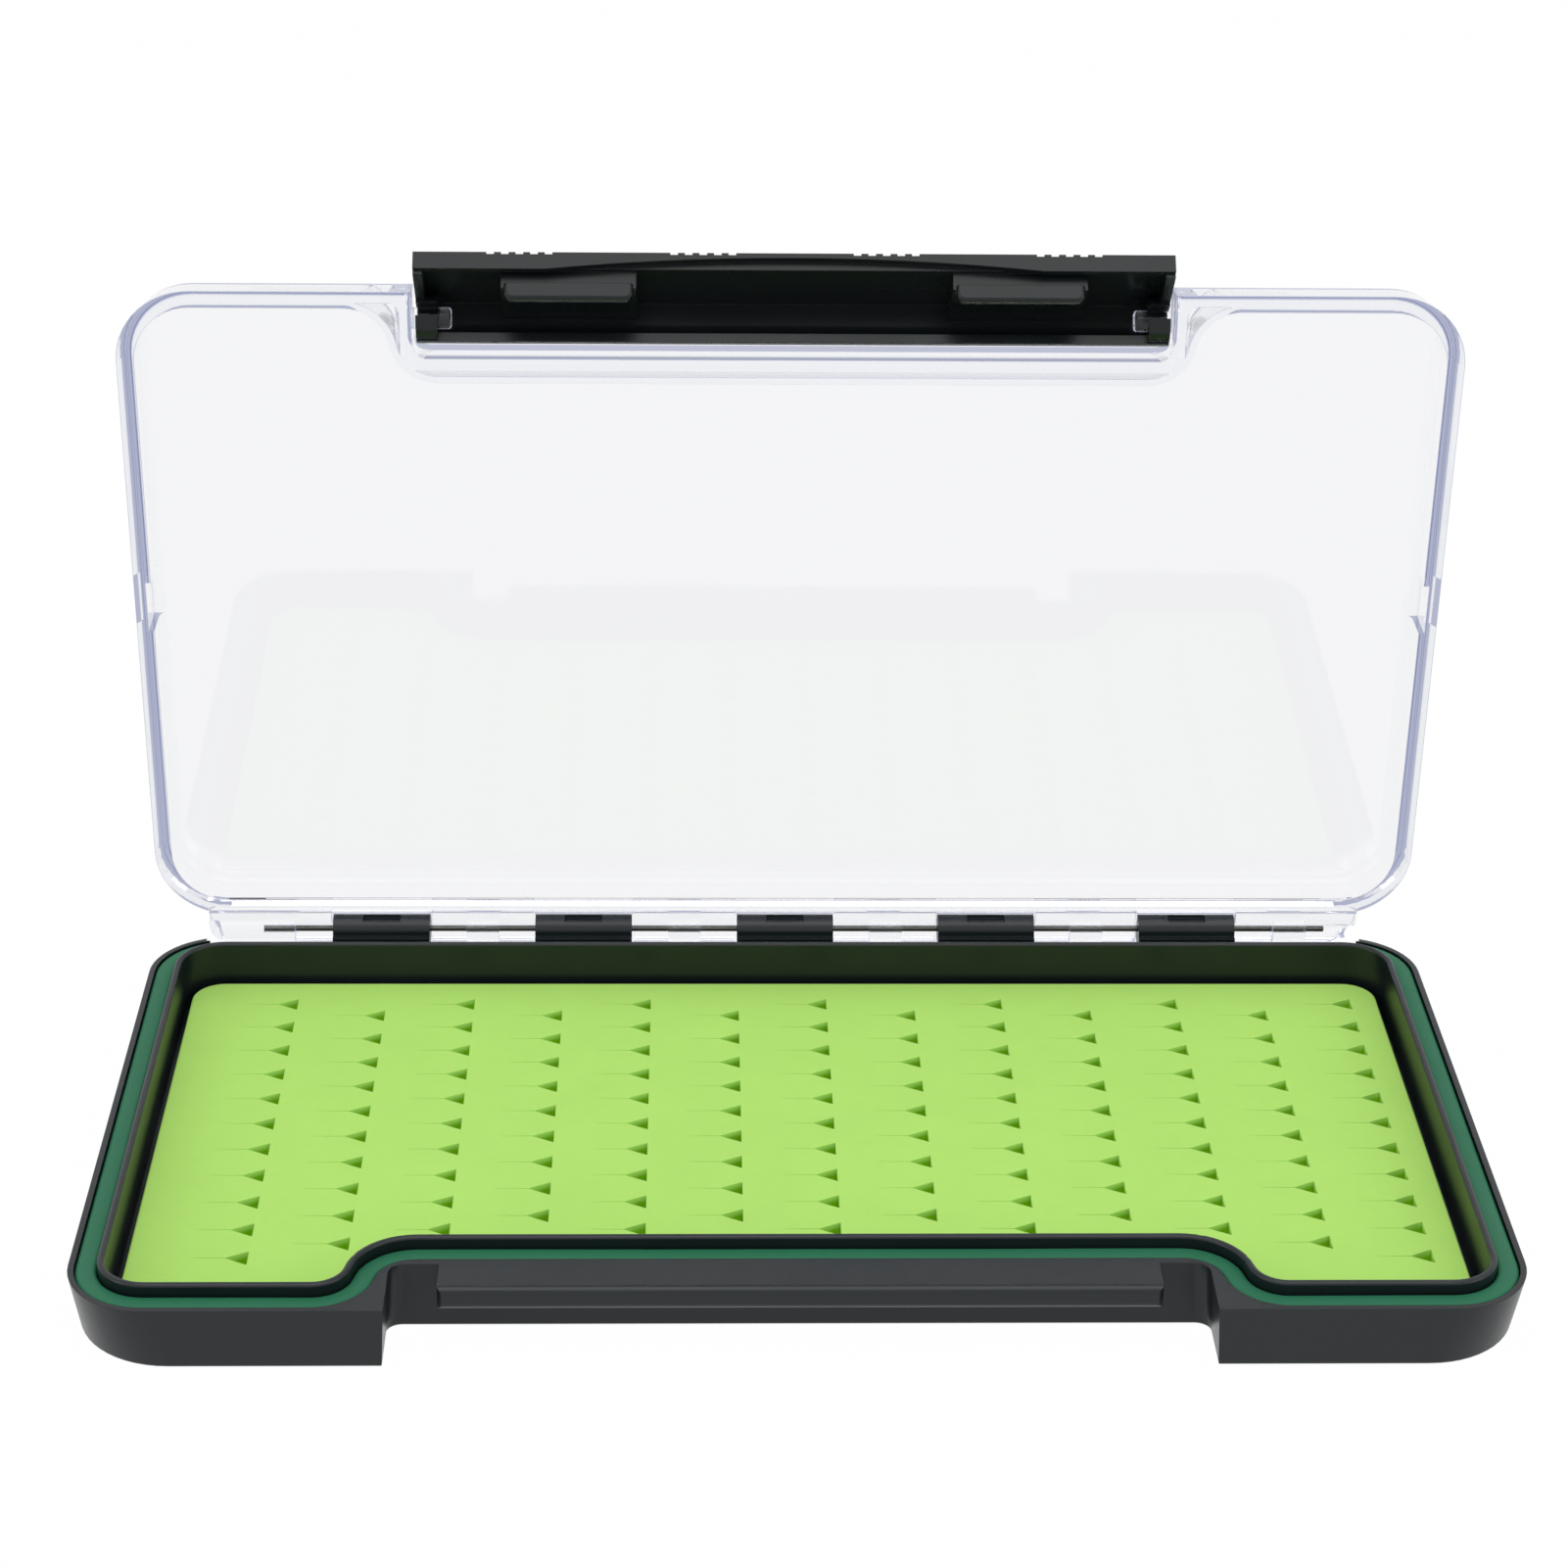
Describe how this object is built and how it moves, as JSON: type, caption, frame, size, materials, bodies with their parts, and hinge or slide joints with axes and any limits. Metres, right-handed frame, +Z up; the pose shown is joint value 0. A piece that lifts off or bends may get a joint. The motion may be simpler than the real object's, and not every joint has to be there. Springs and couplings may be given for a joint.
{
  "type": "fly box",
  "caption": "Slim rectangular fly box: dark tray with seal and slit silicone insert, clear hinged lid and a full-width clip-on latch.",
  "frame": {"origin": "middle of the tray's underside, on the surface the box stands on", "axes": "+X along the box's length, +Y from the latch side to the hinge, +Z up; stored with the lid open"},
  "size_m": [0.188, 0.1091, 0.1164],
  "materials": {
    "tray_plastic": "satin",
    "seal_rubber": "matte",
    "insert_silicone": "matte",
    "pin_steel": "drawn",
    "clear_plastic": "clear, polished",
    "latch_plastic": "satin"
  },
  "bodies": {
    "base": {"tray": "tray_plastic", "seal": "seal_rubber", "insert": "insert_silicone", "hinge_pin": "pin_steel"},
    "lid": {"lid": "clear_plastic"},
    "latch": {"latch": "latch_plastic"}
  },
  "joints": [
    {"name": "lid_hinge", "type": "hinge", "parent": "base", "child": "lid", "pos_m": [0, 0.0523, 0.00875], "axis": [-1, 0, 0], "range_deg": [-87, 93]},
    {"name": "latch_pivot", "type": "hinge", "parent": "lid", "child": "latch", "pos_m": [0, 0.05098, 0.10561], "axis": [-1, 0, 0], "range_deg": [-46, 47]}
  ]
}
